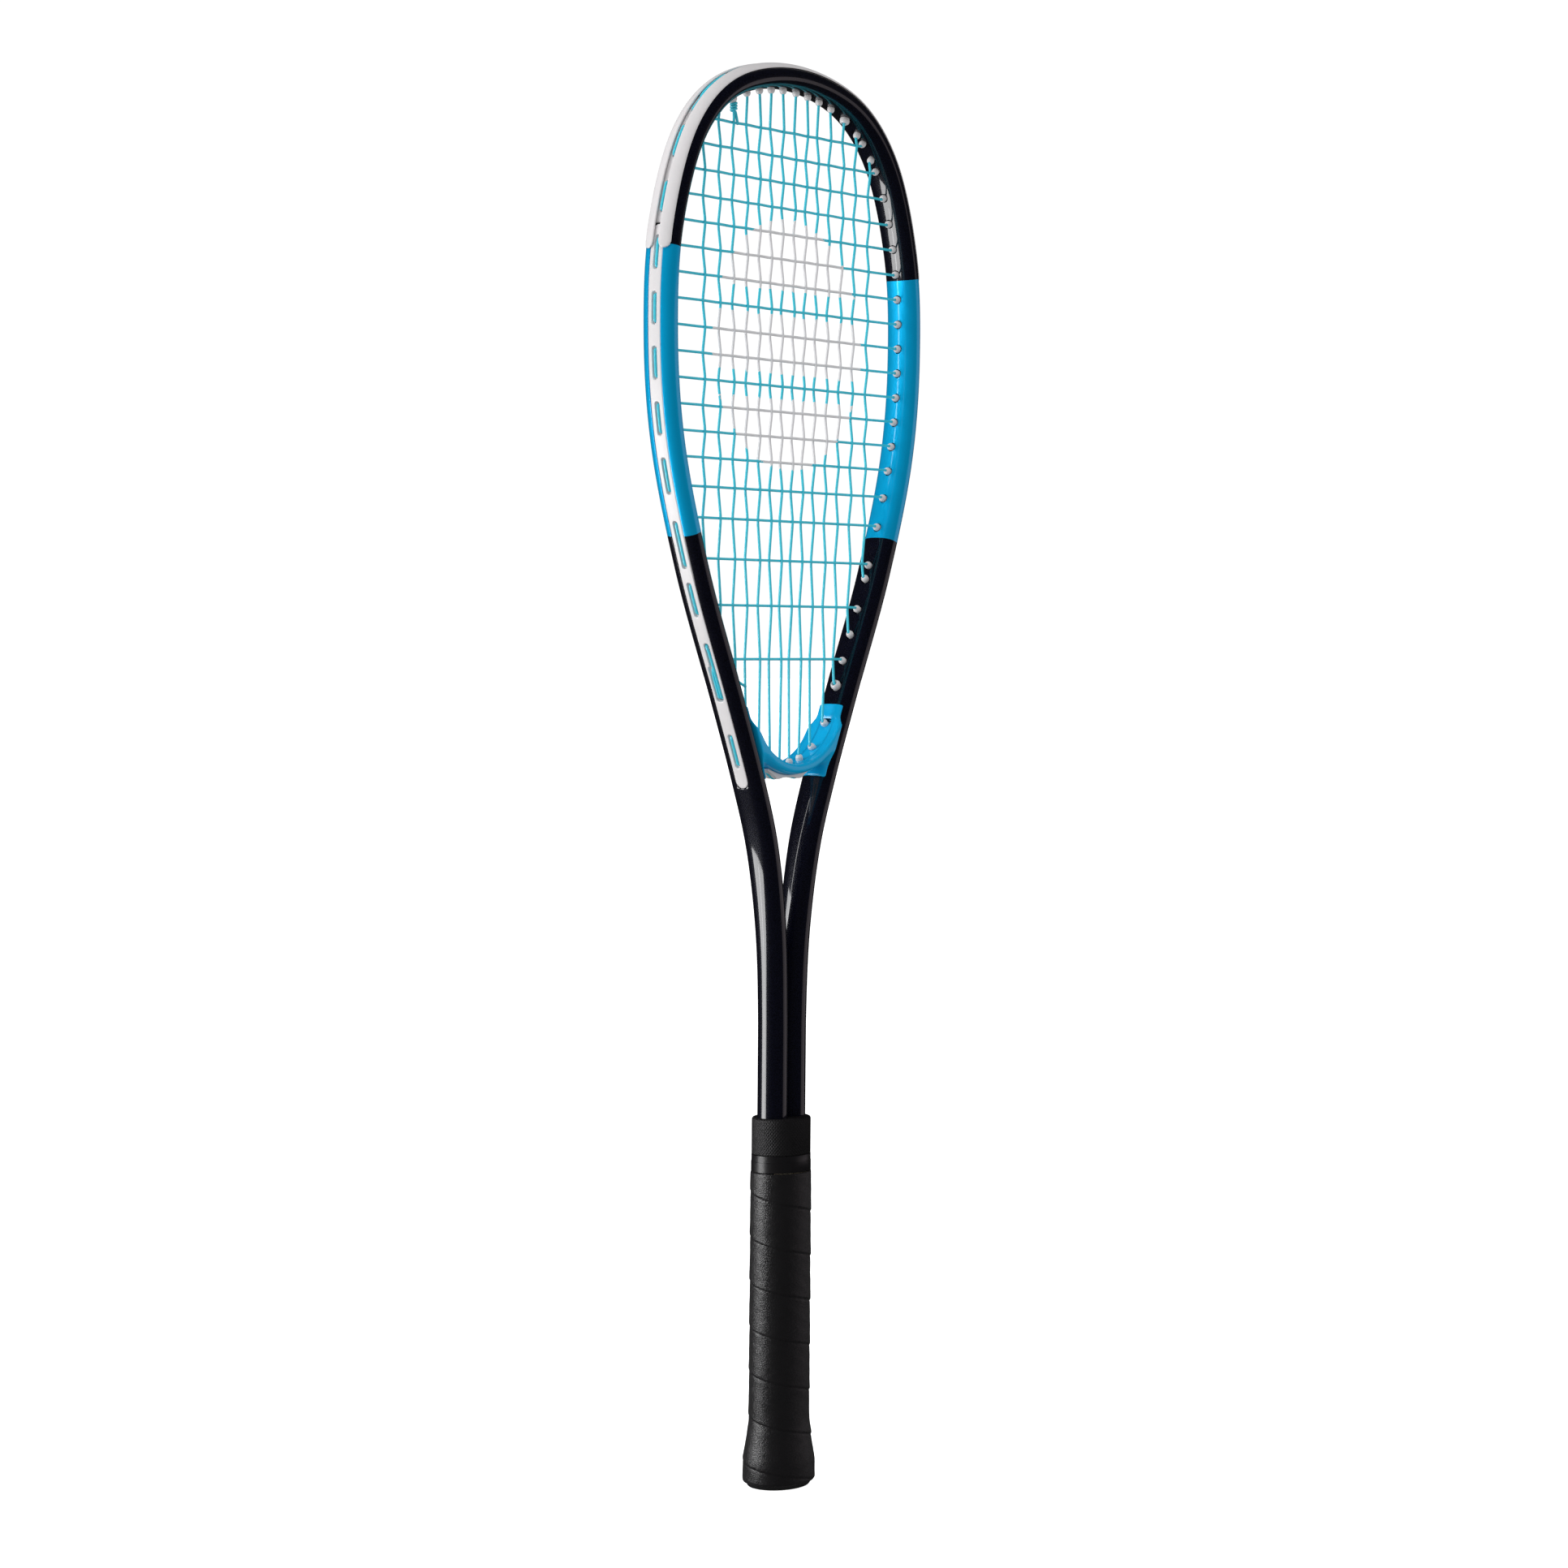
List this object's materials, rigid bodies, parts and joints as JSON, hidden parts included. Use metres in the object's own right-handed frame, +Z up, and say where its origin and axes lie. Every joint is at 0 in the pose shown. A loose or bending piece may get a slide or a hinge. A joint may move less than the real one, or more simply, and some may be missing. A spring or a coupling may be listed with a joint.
{
  "type": "squash racket",
  "caption": "Open-throat squash racket: a bent tube frame with a moulded throat bridge, grommet strips, head bumper, woven string bed and wrapped handle.",
  "frame": {"origin": "middle of the butt's end face", "axes": "+Z up the handle to the head's tip, X across the head, Y square to the string bed"},
  "size_m": [0.211, 0.0324, 0.685],
  "materials": {
    "frame_paint": "gloss paint, near-black navy with a light blue zone on each rail",
    "bridge": "gloss moulded nylon, light blue",
    "grommet": "satin moulded nylon, off-white",
    "string": "teal-blue multifilament nylon with a white stencil patch",
    "pallet": "moulded rigid foam",
    "cap": "black moulded plastic",
    "staple": "bare steel wire",
    "grip": "black synthetic leather, padded, spirally wrapped",
    "tape": "black finishing tape",
    "collar": "black ribbed rubber"
  },
  "bodies": {
    "root": {"frame_tube": "frame_paint", "throat_bridge": "bridge", "bridge_grommet_strip": "grommet", "head_bumper": "grommet", "grommet_strip_left": "grommet", "grommet_strip_right": "grommet", "string": "string", "pallet_front": "pallet", "pallet_back": "pallet", "butt_cap": "cap", "cap_staple_back": "staple", "cap_staple_front": "staple", "grip_wrap": "grip", "grip_staple": "staple", "finishing_tape": "tape", "grip_collar": "collar"}
  },
  "joints": []
}
